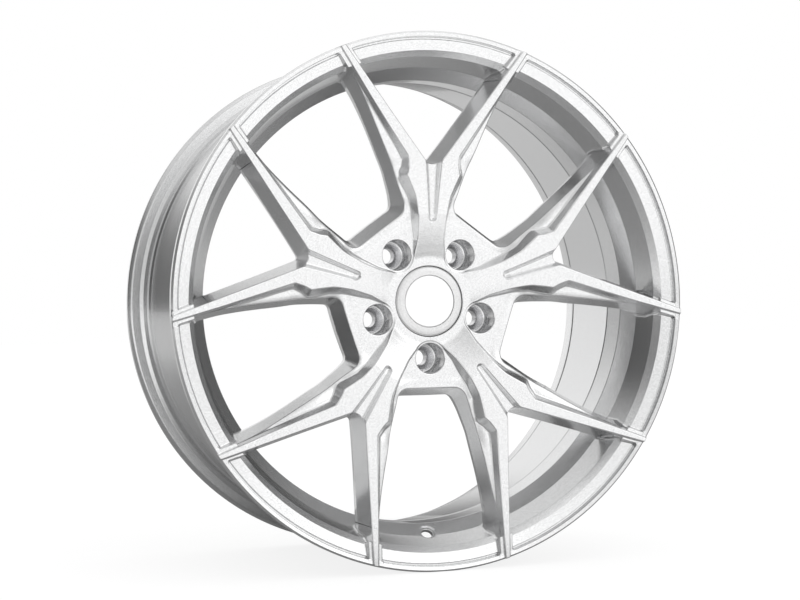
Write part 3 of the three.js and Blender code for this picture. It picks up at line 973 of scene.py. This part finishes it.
def curved(tree, source, stops):
    """A smooth curve of a value, through stops of (value, level)."""
    (first, _), (last, _) = stops[0], stops[-1]
    peak = max(level for _, level in stops)
    share = tree.nodes.new("ShaderNodeMapRange")
    share.inputs["From Min"].default_value = first
    share.inputs["From Max"].default_value = last
    tree.links.new(source, share.inputs["Value"])
    shape = tree.nodes.new("ShaderNodeFloatCurve")
    curve = shape.mapping.curves[0]
    curve.points[0].location = (0.0, stops[0][1] / peak)
    curve.points[1].location = (1.0, stops[-1][1] / peak)
    for value, level in stops[1:-1]:
        curve.points.new((value - first) / (last - first), level / peak)
    shape.mapping.update()
    tree.links.new(share.outputs["Result"], shape.inputs["Value"])
    scaled = tree.nodes.new("ShaderNodeMath")
    scaled.operation = "MULTIPLY"
    scaled.inputs[1].default_value = peak
    tree.links.new(shape.outputs["Value"], scaled.inputs[0])
    return scaled.outputs["Value"]


def seen_by_camera(tree, lit, plain):
    """A strength that is plain to the camera itself and lit for everything else."""
    path = tree.nodes.new("ShaderNodeLightPath")
    choice = tree.nodes.new("ShaderNodeMix")
    tree.links.new(path.outputs["Is Camera Ray"], choice.inputs["Factor"])
    tree.links.new(lit, choice.inputs["A"])
    choice.inputs["B"].default_value = plain
    return choice.outputs["Result"]


def floor():
    """A wide pale floor. Its own glow keeps it white away from the wheel's soft shadow."""
    corners = [(-FLOOR_EDGE, -FLOOR_EDGE, FLOOR), (FLOOR_EDGE, -FLOOR_EDGE, FLOOR),
               (FLOOR_EDGE, FLOOR_EDGE, FLOOR), (-FLOOR_EDGE, FLOOR_EDGE, FLOOR)]
    mesh = bpy.data.meshes.new("floor")
    mesh.from_pydata(corners, [], [(0, 1, 2, 3)])
    obj = bpy.data.objects.new("floor", mesh)
    bpy.context.scene.collection.objects.link(obj)
    material, bsdf = shader("floor", FLOOR_GREY, 0.0, 0.9)
    bsdf.inputs["Specular IOR Level"].default_value = 0.0
    bsdf.inputs["Emission Color"].default_value = (1, 1, 1, 1)
    tree = material.node_tree
    place = tree.nodes.new("ShaderNodeTexCoord")
    axes = tree.nodes.new("ShaderNodeSeparateXYZ")
    tree.links.new(place.outputs["Object"], axes.inputs[0])
    glow = seen_by_camera(tree, curved(tree, axes.outputs["Y"], FLOOR_LIGHT), FLOOR_GLOW)
    tree.links.new(glow, bsdf.inputs["Emission Strength"])
    mesh.materials.append(material)


def softbox(name, place, aim, size, power):
    light = bpy.data.lights.new(name, "AREA")
    light.shape = "RECTANGLE"
    light.size, light.size_y = size
    light.energy = power
    obj = bpy.data.objects.new(name, light)
    bpy.context.scene.collection.objects.link(obj)
    obj.location = place
    obj.rotation_euler = (Vector(aim) - Vector(place)).to_track_quat("-Z", "Y").to_euler()


def studio():
    """Soft light from the front and above, a pale wall behind, and dark sides that draw the edges."""
    world = bpy.data.worlds.new("studio")
    world.use_nodes = True
    tree = world.node_tree
    place = tree.nodes.new("ShaderNodeTexCoord")
    axes = tree.nodes.new("ShaderNodeSeparateXYZ")
    tree.links.new(place.outputs["Generated"], axes.inputs[0])
    compass = tree.nodes.new("ShaderNodeMath")
    compass.operation = "ARCTAN2"
    tree.links.new(axes.outputs["X"], compass.inputs[0])
    tree.links.new(axes.outputs["Y"], compass.inputs[1])
    around = curved(tree, compass.outputs["Value"], [(math.radians(a), level) for a, level in SURROUNDINGS])
    rise = tree.nodes.new("ShaderNodeMapRange")
    rise.interpolation_type = "SMOOTHSTEP"
    rise.inputs["From Min"].default_value = OVERHEAD_FROM
    rise.inputs["From Max"].default_value = OVERHEAD_FULL
    tree.links.new(axes.outputs["Z"], rise.inputs["Value"])
    sky = tree.nodes.new("ShaderNodeMix")
    sky.inputs["B"].default_value = OVERHEAD
    tree.links.new(rise.outputs["Result"], sky.inputs["Factor"])
    tree.links.new(around, sky.inputs["A"])
    background = tree.nodes["Background"]
    background.inputs["Color"].default_value = (1, 1, 1, 1)
    tree.links.new(seen_by_camera(tree, sky.outputs["Result"], 1.0), background.inputs["Strength"])
    bpy.context.scene.world = world
    softbox("key", (1.6, -2.6, 1.6), (0, 0, 0), (2.0, 2.0), KEY_POWER)
    softbox("top", (0.3, -0.4, 2.4), (0, 0, 0), (2.5, 2.5), TOP_POWER)


def camera():
    data = bpy.data.cameras.new("camera")
    data.sensor_width = CAMERA_SENSOR
    data.lens = CAMERA_LENS
    obj = bpy.data.objects.new("camera", data)
    bpy.context.scene.collection.objects.link(obj)
    azimuth, elevation, roll = CAMERA_AZIMUTH, CAMERA_ELEVATION, CAMERA_ROLL
    back = Vector((math.sin(azimuth) * math.cos(elevation), -math.cos(azimuth) * math.cos(elevation),
                   math.sin(elevation)))
    right = Vector((0, 0, 1)).cross(back).normalized()
    up = back.cross(right)
    right, up = right * math.cos(roll) + up * math.sin(roll), up * math.cos(roll) - right * math.sin(roll)
    turn = Matrix((right, up, back)).transposed()
    obj.matrix_world = Matrix.Translation(Vector(CAMERA_PLACE)) @ turn.to_4x4()
    bpy.context.scene.camera = obj


floor()
studio()
camera()

bpy.context.scene.view_settings.view_transform = "Standard"
